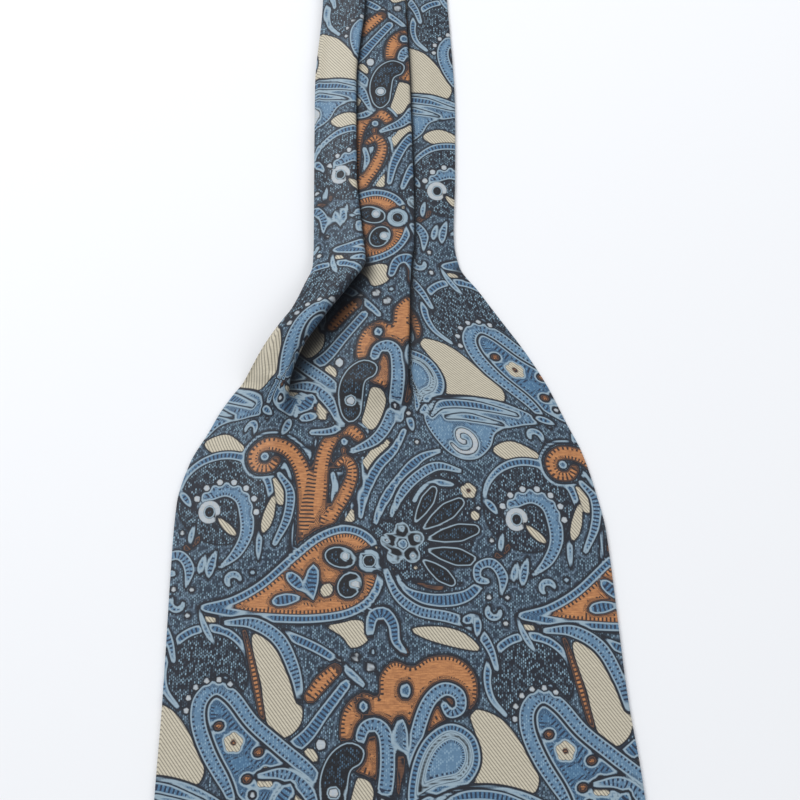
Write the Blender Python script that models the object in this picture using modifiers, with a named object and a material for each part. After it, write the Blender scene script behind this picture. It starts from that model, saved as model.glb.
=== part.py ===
"""Silk cravat laid out flat: two wide pointed blades joined by a pleated neckband.

It is made of doubled silk, so each piece is one wall. The pieces are the two blades,
each cut in one with its end of the band, and the neck piece between them. Two knife
pleats run the whole length of the band and open out into each blade. +Y runs up the
band from the front blade's point, +Z is up and z = 0 is the surface it lies on.
"""

import math
from collections import namedtuple

import bmesh
import bpy

# Driving sizes, in millimetres. The meshes are made in metres.
MM = 0.001
WALL = 1.2                # doubled silk with its light interlining
GAP = 0.3                 # between the layers of a pleat, and between pieces at a seam
BAND_LENGTH = 520.0       # pleated neckband, from throat to throat
NECK_LENGTH = 200.0       # middle piece of the band, between the two cross seams
BLADE_LENGTH = 330.0      # from the throat, where the pleats open, to the point
POINT_NOSE = 2.5          # half the width of the blunt end of a point
PRESSED_ROLL = (WALL + GAP) / 2.0    # bend of a pleat pressed flat, on its middle line
TURNED_TUCK = 2.4         # a pleat with more tuck than this is turned right back
FLAT_STEP = 0.9           # between a pleat's stations where it has opened out flat
TUCK_BEND_FIRST, TUCK_BEND_LAST = 0.04, 0.4    # where a tuck may bend, as shares of it
EDGE_DROOP = 0.7          # how steeply the top layer's free edge falls past the pleat
RAMP_CLEARANCE = 1.0      # from where the middle panel has risen to the pleat it lies on

# Facets along one section, from the left edge to the right edge.
ARC_FACETS = 3
TUCK_FACETS = 4
EDGE_FACETS = 2
PANEL_FACETS = 3
RIGHT_FACETS = 3

BAND_END = -(BAND_LENGTH - NECK_LENGTH) / 2.0    # cross seam, measured up from a throat

# One row for each section of a blade. "down" runs from the throat to the point; left and
# right are half widths; fold_a is the edge of the left strip, which lies on the middle
# panel, and fold_b the edge of the middle panel, which lies on the right strip; tuck is
# the length of cloth between a pleat's two bends; roll_a is pleat a's bend radius.
Row = namedtuple("Row", "down left right fold_a tuck_a roll_a fold_b tuck_b")

FRONT_ROWS = (
    #    down   left  right  fold_a tuck_a roll_a fold_b tuck_b
    Row(-160.0, 23.0, 26.2,   -5.8,  13.0,  0.75,  10.2,  14.6),
    Row(-122.0, 22.6, 26.8,   -5.7,  13.0,  0.75,  10.3,  14.6),
    Row( -77.0, 25.8, 27.8,  -10.0,  11.8,  0.75,  10.9,  15.6),
    Row( -35.0, 26.1, 26.2,  -10.4,  11.4,  0.80,  10.9,  15.6),
    Row(  -7.0, 26.2, 24.5,   -8.4,  13.0,  0.90,  10.3,  14.8),
    Row(   3.0, 26.4, 25.9,   -7.6,  12.8,  1.10,   8.9,  13.6),
    Row(  14.0, 29.4, 32.8,  -13.7,   9.6,  1.50,   8.1,  11.0),
    Row(  24.0, 33.2, 38.9,  -21.0,   5.2,  2.00,   7.7,   8.4),
    Row(  28.0, 36.4, 41.4,  -23.8,   4.8,  2.00,   7.5,   6.6),
    Row(  37.0, 43.4, 47.0,  -30.0,   4.0,  1.90,   6.9,   3.2),
    Row(  46.0, 49.9, 51.9,  -33.8,   2.6,  1.60,   6.5,   1.2),
    Row(  52.0, 54.6, 54.8,  -35.2,   1.5,  1.30,   6.2,   0.8),
    Row(  59.0, 59.2, 57.6,  -36.8,   0.9,  1.05,   5.9,   0.5),
    Row(  65.0, 62.2, 59.9,  -38.0,   0.6,  0.90,   5.7,   0.3),
    Row(  77.0, 68.7, 64.7,  -40.5,   0.2,  0.80,   5.4,   0.1),
    Row(  91.0, 72.4, 68.0,  -42.5,   0.0,  0.80,   5.2,   0.0),
    Row( 105.0, 73.1, 70.2,  -44.0,   0.0,  0.80,   5.0,   0.0),
    Row( 157.0, 73.9, 71.7,  -44.0,   0.0,  0.80,   5.0,   0.0),
    Row( 184.0, 74.8, 73.7,  -44.0,   0.0,  0.80,   5.0,   0.0),
    Row( 254.0, 76.0, 76.0,  -44.0,   0.0,  0.80,   5.0,   0.0),
    Row( 330.0, 76.0, 76.0,  -44.0,   0.0,  0.80,   5.0,   0.0),
)

REAR_ROWS = (
    #    down   left  right  fold_a tuck_a roll_a fold_b tuck_b
    Row(-160.0, 23.0, 26.2,   -5.8,  13.0,  0.75,  10.2,  14.6),
    Row(-100.0, 24.4, 26.0,   -7.0,  12.8,  0.75,  10.4,  14.8),
    Row( -40.0, 25.6, 25.9,   -8.6,  12.4,  0.80,  10.8,  15.0),
    Row(  -4.0, 26.0, 25.2,   -8.2,  12.6,  0.90,  11.0,  15.0),
    Row(  10.0, 29.4, 30.0,  -12.0,  10.6,  1.20,  10.6,  12.0),
    Row(  22.0, 35.2, 36.8,  -18.6,   7.6,  1.50,  10.2,   8.6),
    Row(  34.0, 41.8, 44.2,  -24.6,   5.0,  1.50,   9.6,   5.2),
    Row(  46.0, 48.8, 51.4,  -28.8,   2.6,  1.30,   9.0,   2.4),
    Row(  56.0, 55.2, 56.6,  -31.2,   1.3,  1.10,   8.6,   1.1),
    Row(  66.0, 61.4, 61.2,  -32.8,   0.7,  0.90,   8.2,   0.6),
    Row(  80.0, 67.6, 66.4,  -34.0,   0.2,  0.80,   8.0,   0.2),
    Row( 104.0, 71.8, 70.8,  -35.0,   0.0,  0.80,   8.0,   0.0),
    Row( 160.0, 74.0, 73.4,  -36.0,   0.0,  0.80,   8.0,   0.0),
    Row( 254.0, 76.0, 76.0,  -36.0,   0.0,  0.80,   8.0,   0.0),
    Row( 330.0, 76.0, 76.0,  -36.0,   0.0,  0.80,   8.0,   0.0),
)

# Where the sections are taken, from the cross seam to the point.
BAND_STATIONS = (-105.0, -60.0, -25.0)
OPENING_FIRST, OPENING_LAST, OPENING_STEP = -7.0, 83.0, 5.0
BLADE_STATIONS = (91.0, 105.0, 125.0, 157.0, 184.0, 220.0, 254.0, 280.0, 305.0)

SILK_COLOUR = (0.075, 0.125, 0.205, 1.0)
SILK_ROUGHNESS = 0.42


def row_at(rows, down):
    """The columns at any distance down, by a smooth curve with no overshoot."""
    last = len(rows) - 1
    after = next((i for i, row in enumerate(rows) if row.down >= down), last)
    after = max(after, 1)
    before = after - 1
    span = rows[after].down - rows[before].down
    part = min(max((down - rows[before].down) / span, 0.0), 1.0)

    def slope(column, i):
        if i == 0 or i == last:
            return 0.0
        rise_in = (rows[i][column] - rows[i - 1][column]) / (rows[i].down - rows[i - 1].down)
        rise_out = (rows[i + 1][column] - rows[i][column]) / (rows[i + 1].down - rows[i].down)
        if rise_in * rise_out <= 0.0:
            return 0.0
        return 2.0 * rise_in * rise_out / (rise_in + rise_out)

    values = [down]
    for column in range(1, len(Row._fields)):
        start = rows[before][column]
        end = rows[after][column]
        slope_in = slope(column, before) * span
        slope_out = slope(column, after) * span
        bend_in = slope_in + 2.0 * start - 2.0 * end + slope_out
        bend_out = 3.0 * end - 3.0 * start - 2.0 * slope_in - slope_out
        values.append(start + part * (slope_in + part * (bend_out + part * bend_in)))
    return Row(*values)


def spread(first, last, facets):
    """The ends of equal steps from first to last, without first itself."""
    return [first + (last - first) * i / facets for i in range(1, facets + 1)]


class Pleat:
    """One knife pleat: an edge turned under, a tuck, and a turn back along the next panel.

    As it opens out its turns grow shallow, and its stations are spread along the cloth.
    """

    def __init__(self, edge, tuck, roll):
        self.roll = roll
        self.turn = math.pi * min(tuck / TURNED_TUCK, 1.0)
        self.step = FLAT_STEP * (1.0 - self.turn / math.pi) ** 2
        self.start = edge - WALL / 2.0 - roll * math.sin(min(self.turn, math.pi / 2.0))
        self.drop = 2.0 * roll * (1.0 - math.cos(self.turn)) + tuck * math.sin(self.turn)
        self.tuck_from = (self.start + roll * math.sin(self.turn) + ARC_FACETS * self.step,
                          roll * (math.cos(self.turn) - 1.0))
        self.tuck_to = (self.tuck_from[0] + tuck * math.cos(self.turn) + TUCK_FACETS * self.step,
                        self.tuck_from[1] - tuck * math.sin(self.turn))
        self.end = self.tuck_to[0] + roll * math.sin(self.turn) + ARC_FACETS * self.step
        self.inner_edge = min(self.end - roll, self.start) - WALL / 2.0

    def edge_points(self, top):
        """The turn of the pleat's edge, from the end of the upper panel."""
        angles = spread(0.0, self.turn, ARC_FACETS)
        return [(self.start + self.roll * math.sin(a) + self.step * (i + 1),
                 top - self.roll + self.roll * math.cos(a)) for i, a in enumerate(angles)]

    def tuck_points(self, top, stops):
        """The tuck that lies under the panel, through each stop between its ends."""
        (x0, z0), (x1, z1) = self.tuck_from, self.tuck_to
        return [(x0 + (x1 - x0) * part, top + z0 + (z1 - z0) * part) for part in stops]

    def back_points(self, top):
        """The turn back, to the start of the lower panel."""
        middle = top - self.drop + self.roll
        bend_start = self.end - ARC_FACETS * self.step
        angles = spread(self.turn, 0.0, ARC_FACETS)
        return [(bend_start - self.roll * math.sin(a) + self.step * (i + 1),
                 middle - self.roll * math.cos(a)) for i, a in enumerate(angles)]


def section(row):
    """The cloth's middle line across one section, as (x, z) from left edge to right edge."""
    pleat_a = Pleat(row.fold_a, row.tuck_a, row.roll_a)
    pleat_b = Pleat(row.fold_b, row.tuck_b, PRESSED_ROLL)
    floor = WALL / 2.0

    # The middle panel climbs from the floor, inside pleat a, to the top of pleat b, and
    # everything in pleat a climbs with it.
    ramp_start = pleat_a.end
    ramp_end = max(pleat_b.inner_edge - RAMP_CLEARANCE, ramp_start + RAMP_CLEARANCE)

    def ramp(x):
        part = min(max((x - ramp_start) / (ramp_end - ramp_start), 0.0), 1.0)
        return pleat_b.drop * part

    top_a = floor + pleat_a.drop
    knee = min(pleat_a.inner_edge, pleat_a.start - RAMP_CLEARANCE)
    room = knee + row.left
    droop = min(pleat_a.drop, EDGE_DROOP * room)
    low_stop = min(max(ramp_start, knee + GAP), pleat_a.start - 2.0 * GAP)
    high_stop = min(max(ramp_end, low_stop + GAP), pleat_a.start - GAP)

    points = [(-row.left, top_a - droop)]
    for x in spread(-row.left, knee, EDGE_FACETS):
        part = (knee - x) / room
        points.append((x, top_a - droop * part * part))
    for x in (low_stop, (low_stop + high_stop) / 2.0, high_stop, pleat_a.start):
        points.append((x, top_a))

    # Near its edge the tuck bends where the panel over it stops climbing.
    bend = 1.0 / TUCK_FACETS
    if pleat_a.turn >= math.pi:
        bend = (pleat_a.tuck_from[0] - high_stop) / row.tuck_a
        bend = min(max(bend, TUCK_BEND_FIRST), TUCK_BEND_LAST)
    points += pleat_a.edge_points(top_a)
    points += pleat_a.tuck_points(top_a, [bend] + spread(bend, 1.0, TUCK_FACETS - 1))
    points += pleat_a.back_points(top_a)

    climb_end = min(max(ramp_end, pleat_a.end + GAP), pleat_b.start - GAP)
    for x in spread(pleat_a.end, climb_end, PANEL_FACETS):
        points.append((x, floor))
    for x in spread(climb_end, pleat_b.start, PANEL_FACETS):
        points.append((x, floor))
    points = [(x, z + ramp(x)) for x, z in points]

    top_b = floor + pleat_b.drop
    points += pleat_b.edge_points(top_b)
    points += pleat_b.tuck_points(top_b, spread(0.0, 1.0, TUCK_FACETS))
    points += pleat_b.back_points(top_b)
    for x in spread(pleat_b.end, row.right, RIGHT_FACETS):
        points.append((x, floor))
    return points


def point_share(row):
    """How much of a section's width is left where the blade is cut to its point."""
    left_to_go = BLADE_LENGTH - row.down + POINT_NOSE
    return min(1.0, left_to_go / max(row.left, row.right))


def cloth_rings(rows, stations, toward):
    """The sections at the stations, set along Y; toward is -1 for the front, 1 for the rear."""
    rings = []
    for down in stations:
        row = row_at(rows, down)
        share = point_share(row)
        y = toward * (BAND_LENGTH / 2.0 + down)
        rings.append([(x * share, y, z) for x, z in section(row)])
    return rings


def silk_material(name):
    """Plain stand-in for the figured silk."""
    material = bpy.data.materials.new(name)
    material.use_nodes = True
    shader = material.node_tree.nodes["Principled BSDF"]
    shader.inputs["Base Color"].default_value = SILK_COLOUR
    shader.inputs["Roughness"].default_value = SILK_ROUGHNESS
    shader.inputs["Metallic"].default_value = 0.0
    return material


def loft_cloth(name, rings, collection):
    """A cloth wall lofted through the rings' middle lines and given its thickness."""
    mesh = bpy.data.meshes.new(name)
    shell = bmesh.new()
    grid = [[shell.verts.new([c * MM for c in point]) for point in ring] for ring in rings]
    for near, far in zip(grid, grid[1:]):
        for i in range(len(near) - 1):
            shell.faces.new((near[i], near[i + 1], far[i + 1], far[i]))
    bmesh.ops.recalc_face_normals(shell, faces=shell.faces)
    shell.to_mesh(mesh)
    shell.free()
    mesh.shade_smooth()
    piece = bpy.data.objects.new(name, mesh)
    collection.objects.link(piece)
    wall = piece.modifiers.new("Wall", "SOLIDIFY")
    wall.thickness = WALL * MM
    wall.offset = 0.0
    wall.use_even_offset = True
    mesh.materials.append(silk_material(name + "_silk"))
    return piece


def blade_stations():
    """Sections of one blade, close together where its pleats open."""
    steps = round((OPENING_LAST - OPENING_FIRST) / OPENING_STEP)
    opening = [OPENING_FIRST] + spread(OPENING_FIRST, OPENING_LAST, steps)
    return [BAND_END + GAP / 2.0, *BAND_STATIONS, *opening, *BLADE_STATIONS, BLADE_LENGTH]


def build():
    for old in list(bpy.data.objects):
        bpy.data.objects.remove(old, do_unlink=True)
    collection = bpy.data.collections.new("silk_cravat")
    bpy.context.scene.collection.children.link(collection)

    stations = blade_stations()
    loft_cloth("front_blade", cloth_rings(FRONT_ROWS, stations, -1.0), collection)
    loft_cloth("rear_blade", cloth_rings(REAR_ROWS, stations, 1.0), collection)
    seam = BAND_END - GAP / 2.0
    neck = cloth_rings(FRONT_ROWS, (seam,), -1.0) + cloth_rings(REAR_ROWS, (seam,), 1.0)
    loft_cloth("neck_piece", neck, collection)


build()
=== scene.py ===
"""A silk cravat laid flat: two pointed blades of figured silk joined by a pleated neckband."""

import math
from collections import namedtuple

import bpy
import numpy as np
from mathutils import Matrix, Vector


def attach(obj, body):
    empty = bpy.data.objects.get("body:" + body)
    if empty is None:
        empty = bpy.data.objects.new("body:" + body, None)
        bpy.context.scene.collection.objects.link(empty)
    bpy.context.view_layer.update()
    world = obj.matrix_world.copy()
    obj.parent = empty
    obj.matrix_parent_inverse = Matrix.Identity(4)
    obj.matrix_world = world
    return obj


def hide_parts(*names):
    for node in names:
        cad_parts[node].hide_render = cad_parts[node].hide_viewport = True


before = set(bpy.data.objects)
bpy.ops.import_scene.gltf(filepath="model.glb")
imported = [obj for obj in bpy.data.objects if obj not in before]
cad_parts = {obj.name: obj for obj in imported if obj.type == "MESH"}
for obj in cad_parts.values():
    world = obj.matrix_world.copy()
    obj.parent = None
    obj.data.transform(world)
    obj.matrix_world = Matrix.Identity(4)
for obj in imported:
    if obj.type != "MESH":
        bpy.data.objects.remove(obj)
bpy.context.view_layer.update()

# ---------------------------------------------------------------------------------------
# The figured silk. A jacquard twill woven with one large paisley repeat, 103 mm across and
# 129 mm along. The figure is drawn once, shape over shape, as distances in millimetres to
# the edge of each colour of weft, and every piece of the cravat is cut from this cloth.
REPEAT = np.array((103.0, 129.0))
DRAWING_CELLS = np.array((412, 516))          # cells of the drawing across and along one repeat
CELL = REPEAT / DRAWING_CELLS
REACH = 4.0                                   # distances are kept this far from an edge
ALONG_REACH = 1.5                             # and the run along an edge this far outside it
WEFTS = ("blue", "light", "copper", "cream", "dark", "ivory", "dotted")

drawing = {weft: np.full(DRAWING_CELLS[::-1], REACH) for weft in WEFTS}
drawing["along"] = np.zeros(DRAWING_CELLS[::-1])


def smooth_through(points, closed=False, parts=9):
    """A smooth curve through a few points; any further columns are carried along it."""
    knots = np.asarray(points, float)
    if closed:
        knots = np.vstack((knots[-1], knots, knots[:2]))
    else:
        knots = np.vstack((2 * knots[0] - knots[1], knots, 2 * knots[-1] - knots[-2]))
    share = np.linspace(0.0, 1.0, parts, endpoint=False)[:, None]
    pieces = []
    for a, b, c, d in zip(knots, knots[1:], knots[2:], knots[3:]):
        bend = (2 * a - 5 * b + 4 * c - d) * share**2 + (3 * b - a - 3 * c + d) * share**3
        pieces.append(b + 0.5 * ((c - a) * share + bend))
    if not closed:
        pieces.append(knots[-2][None])
    return np.vstack(pieces)


def cells_near(points, margin):
    """The cells of the drawing round some points: their places, and where they are kept."""
    first = np.floor((points.min(0) - margin) / CELL).astype(int)
    last = np.ceil((points.max(0) + margin) / CELL).astype(int)
    across = np.arange(first[0], last[0] + 1)
    up = np.arange(first[1], last[1] + 1)
    places = np.stack(np.meshgrid((across + 0.5) * CELL[0], (up + 0.5) * CELL[1]), -1)
    return places, np.ix_(up % DRAWING_CELLS[1], across % DRAWING_CELLS[0])


def to_segments(places, line):
    """Distance from each place to each step of a line, and how far along the line that is."""
    start = line[:-1, :2]
    step = line[1:, :2] - start
    length = np.maximum(np.hypot(*step.T), 1e-6)
    offset = places[..., None, :] - start
    part = np.clip((offset * step).sum(-1) / length**2, 0.0, 1.0)
    away = np.hypot(*np.moveaxis(offset - part[..., None] * step, -1, 0))
    reached = np.concatenate(([0.0], np.cumsum(length)[:-1]))
    return away, part, reached + part * length


def band(points, *half_widths):
    """A stroke along a smooth curve; its half width is spread through the given values."""
    curve = smooth_through(points)
    run = np.concatenate(([0.0], np.cumsum(np.hypot(*np.diff(curve, axis=0).T))))
    half = np.interp(run / run[-1], np.linspace(0.0, 1.0, len(half_widths)), half_widths)
    places, kept = cells_near(curve, REACH + max(half_widths))
    away, part, along = to_segments(places, curve)
    away -= half[:-1] + part * np.diff(half)
    nearest = away.argmin(-1)[..., None]
    return (np.take_along_axis(away, nearest, -1)[..., 0],
            np.take_along_axis(along, nearest, -1)[..., 0], kept)


def leaf(points, parts=9):
    """A closed shape with a smooth outline through the given points."""
    outline = smooth_through(points, closed=True, parts=parts)
    outline = np.vstack((outline, outline[:1]))
    places, kept = cells_near(outline, REACH)
    away, _, along = to_segments(places, outline)
    nearest = away.argmin(-1)[..., None]
    low = np.minimum(outline[:-1, 1], outline[1:, 1])
    high = np.maximum(outline[:-1, 1], outline[1:, 1])
    slope = np.diff(outline[:, 0]) / np.where(high > low, np.diff(outline[:, 1]), 1.0)
    level = places[..., 1, None]
    crossing = outline[:-1, 0] + (level - outline[:-1, 1]) * slope
    crossed = (level >= low) & (level < high) & (crossing > places[..., 0, None])
    sign = np.where(crossed.sum(-1) % 2 == 1, -1.0, 1.0)
    return (sign * np.take_along_axis(away, nearest, -1)[..., 0],
            np.take_along_axis(along, nearest, -1)[..., 0], kept)


def round_about(x, y, radius, first=0.0, last=360.0, end_radius=None, count=9):
    """Points on an arc or a spiral, its angles in degrees anticlockwise from the weft."""
    angles = np.radians(np.linspace(first, last, count))
    radii = np.linspace(radius, radius if end_radius is None else end_radius, count)
    return np.column_stack((x + radii * np.cos(angles), y + radii * np.sin(angles)))


def spot(x, y, radius, flat=1.0, lean=0.0):
    """A round or oval shape; flat is its height as a share of its width."""
    ring = round_about(0.0, 0.0, 1.0, 0.0, 330.0, count=12) * (radius, radius * flat)
    turn = math.radians(lean)
    x_axis = np.array((math.cos(turn), math.sin(turn)))
    y_axis = np.array((-math.sin(turn), math.cos(turn)))
    return leaf(np.array((x, y)) + ring[:, :1] * x_axis + ring[:, 1:] * y_axis, parts=3)


def petal(x, y, angle, length, half_width, bend=0.0):
    """A pointed petal that grows from a place, fullest past its middle."""
    turn = math.radians(angle)
    ahead = np.array((math.cos(turn), math.sin(turn)))
    aside = np.array((-math.sin(turn), math.cos(turn)))
    shares = np.linspace(0.0, 1.0, 5)[:, None]
    line = np.array((x, y)) + ahead * shares * length + aside * bend * shares**2
    return band(line, 0.25 * half_width, 0.75 * half_width, half_width, 0.9 * half_width, 0.2)


def weave(weft, away, along, kept):
    """One shape woven in one colour over what lies there; no weft is the bare ground."""
    nearest = np.minimum.reduce([drawing[name][kept] for name in WEFTS])
    for name in WEFTS:
        old = drawing[name][kept]
        drawing[name][kept] = np.minimum(old, away) if name == weft else np.maximum(old, -away)
    owned = away < np.clip(nearest, 0.5, ALONG_REACH)
    drawing["along"][kept] = np.where(owned, along, drawing["along"][kept])


def figure(shape, *layers, gap=0.7):
    """A shape with bare ground left round it, woven in layers of (weft, how far inside)."""
    away, along, kept = shape
    weave(None, away - gap, along, kept)
    for weft, inside in layers:
        weave(weft, away + inside, along, kept)


def beads(x, y, radius, angles, size, weft="ivory"):
    for angle in angles:
        a = math.radians(angle)
        figure(spot(x + radius * math.cos(a), y + radius * math.sin(a), size), (weft, 0.0), gap=0.4)


def floret(x, y, size, weft="cream", heart="copper"):
    """A small five-lobed flower with a coloured heart."""
    for lobe in range(5):
        a = math.radians(90.0 + 72.0 * lobe)
        figure(spot(x + 0.62 * size * math.cos(a), y + 0.62 * size * math.sin(a), 0.5 * size),
               (weft, 0.0), gap=0.0)
    figure(spot(x, y, 0.36 * size), (heart, 0.0), gap=0.0)


# Plain cream fields between the figures.
for field in (
    ((86, 112), (92, 116), (103, 114), (105, 110), (101, 104), (97, 97), (94, 88), (92, 98)),
    ((28, 24), (37, 22), (44, 14), (49, 4), (44, -3), (34, -4), (20, -3), (27, 8), (30, 15)),
    ((99, 10), (102.5, 5), (102, -4), (98, -11), (93, -12), (94.5, -4), (96.5, 4)),
    ((62, 99), (66, 98.5), (69.5, 92), (68.5, 89), (65, 91)),
    ((61, 46), (66, 45), (72, 38), (77, 28), (78, 19), (72, 14), (67, 19), (65, 30), (62, 39)),
    ((44, 53), (48, 53), (53, 46), (54, 40), (50, 41), (46, 46)),
    ((84, 50), (92, 51.5), (99, 50), (98, 45), (93, 42.5), (90, 46)),
    ((9, 49), (18, 50), (26, 48), (31, 43), (24, 43.5), (14, 46)),
    ((38, 111), (45, 114), (54, 109), (58, 104), (50, 107), (43, 107)),
    ((72, 126), (80, 129), (84, 134), (80, 137), (74, 132)),
    ((80, 77), (86, 84), (92, 90), (95, 95), (93, 86), (90, 83)),
    ((68, 4), (74, 7), (80, 12), (84, 8), (79, 0), (72, -2)),
):
    figure(leaf(field), ("cream", 0.0), gap=1.0)

# Two dotted rosettes, each in a blue ring.
for x, y, radius, ring_from, ring_to in ((48, 91, 15.5, -25, 175), (47, 34, 13.5, 5, 235)):
    figure(spot(x, y, radius), ("dotted", 0.0))
    figure(band(round_about(x, y, radius + 0.2, ring_from, ring_to), 0.7, 1.4, 1.4, 0.7),
           ("blue", 0.0), gap=0.5)

# The double scroll with a third leaf in its fork: copper with one blue line round all three.
arms = [band(line, *halves) for line, halves in (
    (((74.6, 70), (75.6, 80), (75.4, 92), (73.4, 102), (68.6, 108.8), (61.6, 110.6), (57, 107.2),
      (58, 102.8), (62.4, 102.2), (64.6, 104.8)), (1.9, 2.3, 2.6, 2.7, 2.6, 2.4, 1.9, 1.5)),
    (((77, 70), (78.8, 80), (79.8, 94), (80.4, 106), (83.4, 114.2), (88.6, 117.2), (92.8, 113.8),
      (91.8, 109.2), (87.8, 109.4)), (2.0, 2.6, 2.8, 2.6, 2.4, 2.0, 1.4)),
    (((79, 74), (84, 86), (89, 95), (90.8, 102), (88.4, 106.2), (85, 103.8)),
     (2.2, 2.5, 2.5, 1.9, 1.1)),
)]
for weft, inside in (("blue", -2.3), (None, -1.2)):
    for away, along, kept in arms:
        weave(weft, away + inside, along, kept)
for arm in arms:
    figure(arm, ("copper", 0.0), gap=0.45)
figure(band(((84, 101), (85.2, 96), (83.6, 90)), 0.9, 1.1, 0.3), ("light", 0.0), gap=0.3)
figure(spot(60.8, 106.2, 1.5), ("light", 0.0), gap=0.3)
figure(spot(87.6, 112.6, 1.4), ("light", 0.0), gap=0.3)

# The great paisley lying across the cloth, copper in a blue border.
great = leaf(((44, 55.2), (53, 58), (62, 63.5), (71, 72), (80, 79.8), (89, 83), (97, 80.5),
              (102, 74), (103, 66), (99.5, 57.5), (92, 52.4), (80, 50.2), (66, 50.2), (53, 51.6),
              (44, 53.2)))
figure(great, ("ivory", -0.45), ("blue", 0.0), ("copper", 2.7), gap=1.2)
for x, y, radius, flat, lean in ((88.0, 72.0, 5.4, 0.66, -12), (91.4, 62.8, 4.6, 0.84, 60)):
    figure(spot(x, y, radius, flat, lean), ("ivory", -0.3), ("dark", 0.0), gap=0.6)
    figure(spot(x + 1.5, y + 0.4, 1.3), ("ivory", 0.0), gap=0.0)
figure(spot(97.6, 71.0, 3.9), ("light", 0.0), ("dark", 1.5), gap=0.6)
for x, y, angle, length, half, bend in ((79.4, 57.6, 98, 12, 2.2, -2), (76.4, 60.6, 128, 8, 2.0, 1),
                                        (75.6, 58.2, 184, 9.5, 2.0, 1)):
    figure(petal(x, y, angle, length, half, bend), ("blue", 0.0), gap=0.35)
figure(spot(84.0, 61.0, 2.4, 0.8, 60), ("cream", 0.0), gap=0.35)

# The bearded swirl in the first rosette: a coiled head, ivory beads and a long tail.
figure(band(((40.6, 88), (43, 92.4), (48.6, 94.6), (53.8, 92), (56, 86), (56.4, 79), (53.6, 72.6),
             (48.4, 67.4)), 1.7, 2.5, 2.6, 2.5, 2.2, 1.8, 0.5), ("light", 0.0), gap=0.8)
figure(spot(43.4, 86.4, 3.5, 1.1), ("ivory", -0.2), ("dark", 1.5), gap=0.3)
beads(48.6, 86.6, 10.7, range(0, 170, 26), 1.15)
figure(petal(46.5, 84.5, -48, 9, 1.2, 1), ("cream", 0.0))
figure(petal(34.5, 72, 35, 9, 1.3, 1), ("copper", 0.0))
for x, y, angle, length, half in ((47, 73.5, 250, 10, 1.4), (43.6, 72, 245, 7, 1.1),
                                  (61.5, 84, 262, 14, 1.0), (39, 82, 250, 7, 1.0)):
    figure(petal(x, y, angle, length, half, 1.5), ("light", 0.0))
figure(band(((66, 100), (70, 94), (69.6, 85), (66, 76)), 0.9, 1.6, 1.5, 0.9), ("light", 0.0))
figure(petal(64.6, 92, 262, 13, 1.7, -1), ("cream", 0.0))

# The dark flower and its fan of petals on a deep ground, with long bands that spring from it.
figure(leaf(((98, 82), (101, 94), (110, 102), (123, 102.4), (131.6, 94), (132, 80), (126, 69.6),
             (114, 65), (105, 67), (104, 74))), ("dotted", 0.0))
for line, halves, weft in (
    (((94, 86), (95.6, 95), (99.6, 104), (104.6, 110), (108, 117)), (1.0, 1.7, 1.7, 1.0), "blue"),
    (((99, 84), (102, 92), (107.4, 100), (113.6, 107), (121, 110)), (1.0, 1.8, 1.9, 0.8), "blue"),
    (((104, 86), (108, 95), (113.4, 101), (120, 104.4), (128, 103)), (0.8, 1.7, 1.8, 0.8), "light"),
    (((112, 92), (115, 96), (119, 98.4), (125, 98)), (0.8, 1.3, 1.3, 0.8), "blue"),
    (((106, 67), (110, 61), (119, 58.6), (129, 60), (135.5, 65.5)), (0.9, 2.0, 2.2, 1.4), "blue"),
    (((112, 64.6), (120, 62.6), (128, 64.4)), (0.3, 0.6, 0.3), "copper"),
    (((103, 68), (107, 60), (114, 55), (124, 53.2), (132, 50.2), (137, 44), (139.4, 37)),
     (1.0, 1.7, 1.8, 1.7, 0.8), "light"),
):
    figure(band(line, *halves), (weft, 0.0), gap=0.9)
for angle, start, length, half in ((62, 9, 12.5, 2.5), (38, 9, 15, 3.1), (13, 9, 15.5, 3.2),
                                   (-12, 9, 14.5, 3.1), (-37, 9, 11.5, 2.6)):
    a = math.radians(angle)
    out = np.array((math.cos(a), math.sin(a)))
    line = [np.array((108.4, 77.0)) + out * (start + length * share) for share in (0, 0.4, 0.8, 1)]
    figure(band(line, 0.7, 0.75 * half, half, 0.6 * half), ("dark", 0.0), gap=0.8)
for lobe in range(5):
    a = math.radians(96.0 + 72.0 * lobe)
    figure(spot(108.4 + 4.6 * math.cos(a), 77 + 4.6 * math.sin(a), 3.1, 0.9, 96.0 + 72.0 * lobe),
           ("dark", 0.0), gap=0.0)
    figure(spot(108.4 + 5.2 * math.cos(a), 77 + 5.2 * math.sin(a), 0.8), ("ivory", 0.0), gap=0.0)
figure(spot(108.4, 77, 1.7), ("light", 0.0), gap=0.2)
beads(108.4, 77, 9.0, (120, 190, 255, 300), 0.8, "cream")
floret(130.5, 96.0, 2.6)
figure(spot(132.5, 87.5, 1.5, 1.2), ("cream", 0.0))

# Small curls right of the flower.
figure(band(((141, 60.5), (141.5, 67), (138, 71.4), (133.6, 70), (133.4, 66), (136.4, 65.2)),
            0.4, 1.7, 1.6, 1.4, 1.0), ("light", 0.0))
figure(petal(134, 54, 200, 6, 1.6, 0), ("blue", 0.0))
figure(band(((98.6, 47.6), (99.4, 52.6), (103, 54), (106, 50.4), (107, 45), (110, 41.5)),
            1.3, 1.9, 1.8, 1.6, 0.8), ("copper", -0.5), ("blue", 0.0))
figure(band(((50, 50.4), (60, 49), (72, 46), (84, 41), (93, 34.6), (97, 31)), 0.6, 1.5, 1.5, 0.9),
       ("blue", 0.0))
figure(petal(43, 54, 285, 13, 1.0, 3), ("light", 0.0), gap=0.2)
for x, y in ((88.5, 38), (84, 35), (94.5, 39.6), (99, 36.6)):
    floret(x, y, 1.5, "ivory", "dark")

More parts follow.
